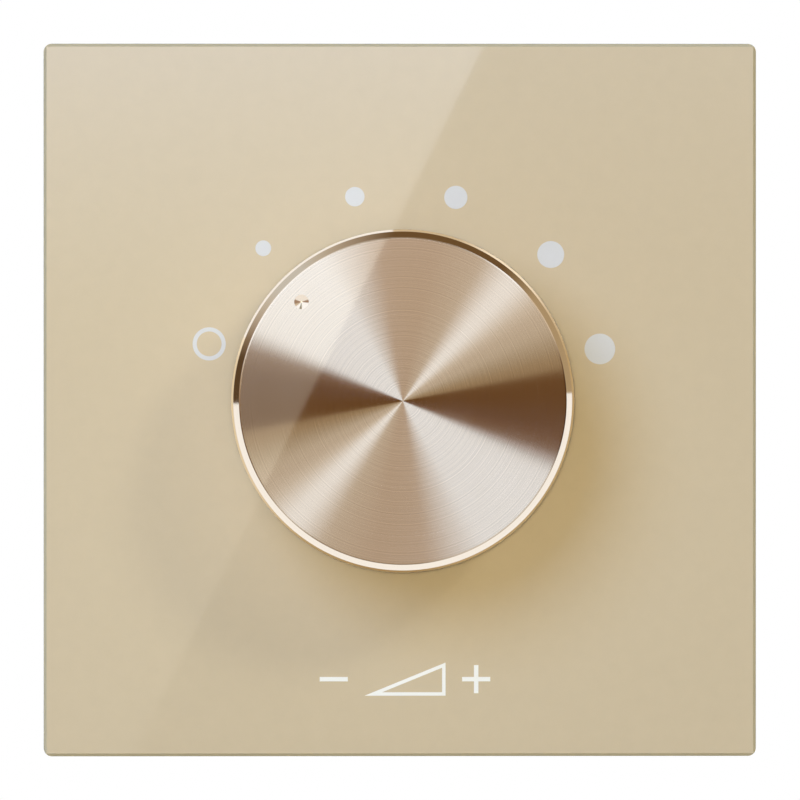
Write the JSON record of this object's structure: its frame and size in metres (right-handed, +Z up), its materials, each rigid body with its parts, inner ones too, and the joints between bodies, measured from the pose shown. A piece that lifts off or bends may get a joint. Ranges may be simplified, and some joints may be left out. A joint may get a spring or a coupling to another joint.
{
  "type": "wall volume control",
  "caption": "Square glass-fronted wall plate with a round spun-metal knob that turns a stepped volume attenuator, with a transformer and a screw terminal block behind.",
  "frame": {"origin": "centre of the wall-side face of the base plate, on the knob's axis", "axes": "+Z up, front faces -Y, +X to the right as seen from the front; +Y points into the wall"},
  "size_m": [0.086, 0.0662, 0.086],
  "materials": {
    "back_painted_glass": "gloss, painted champagne on the back",
    "foam_tape": "matt",
    "frame_plastic": "fine texture",
    "base_plastic": "fine texture",
    "plated_steel": "zinc plated",
    "zinc_casting": "as cast",
    "switch_plastic": "matt",
    "wafer_laminate": "satin",
    "tinned_brass": "tinned",
    "bare_brass": "satin",
    "board_laminate": "solder mask",
    "core_steel": "stamped edges",
    "bobbin_plastic": "matt",
    "copper_wire": "enamelled",
    "yellow_film": "gloss",
    "terminal_plastic": "satin",
    "spun_aluminium": "spun face, champagne anodised, polished chamfer",
    "hub_plastic": "matt",
    "rotor_plastic": "satin",
    "spring_bronze": "satin"
  },
  "bodies": {
    "wall_unit": {"glass_panel": "back_painted_glass", "glass_tapes": "foam_tape", "front_frame": "frame_plastic", "base_plate": "base_plastic", "bush_nut": "plated_steel", "lock_washer": "plated_steel", "stop_washer": "plated_steel", "switch_bush": "zinc_casting", "switch_housing": "switch_plastic", "contact_wafer": "wafer_laminate", "contact_pins": "tinned_brass", "common_contact": "tinned_brass", "housing_rivets": "bare_brass", "board_spacers": "bare_brass", "circuit_board": "board_laminate", "board_screws": "plated_steel", "transformer_core": "core_steel", "transformer_bobbin": "bobbin_plastic", "winding": "copper_wire", "winding_wrap": "yellow_film", "transformer_pins": "tinned_brass", "transformer_strap": "plated_steel", "strap_screws": "plated_steel", "strap_nuts": "plated_steel", "terminal_body": "terminal_plastic", "terminal_cages": "tinned_brass", "terminal_screws": "plated_steel", "terminal_pins": "tinned_brass"},
    "knob": {"knob_cap": "spun_aluminium", "knob_hub": "hub_plastic", "hub_spring": "plated_steel", "shaft": "plated_steel", "shaft_clip": "plated_steel", "rotor": "rotor_plastic", "detent_balls": "plated_steel", "detent_springs": "plated_steel", "wiper": "spring_bronze"}
  },
  "joints": [
    {"name": "knob_turn", "type": "hinge", "parent": "wall_unit", "child": "knob", "pos_m": [0, -0.0193, 0], "axis": [0, 1, 0], "range_deg": [-30, 120]}
  ]
}
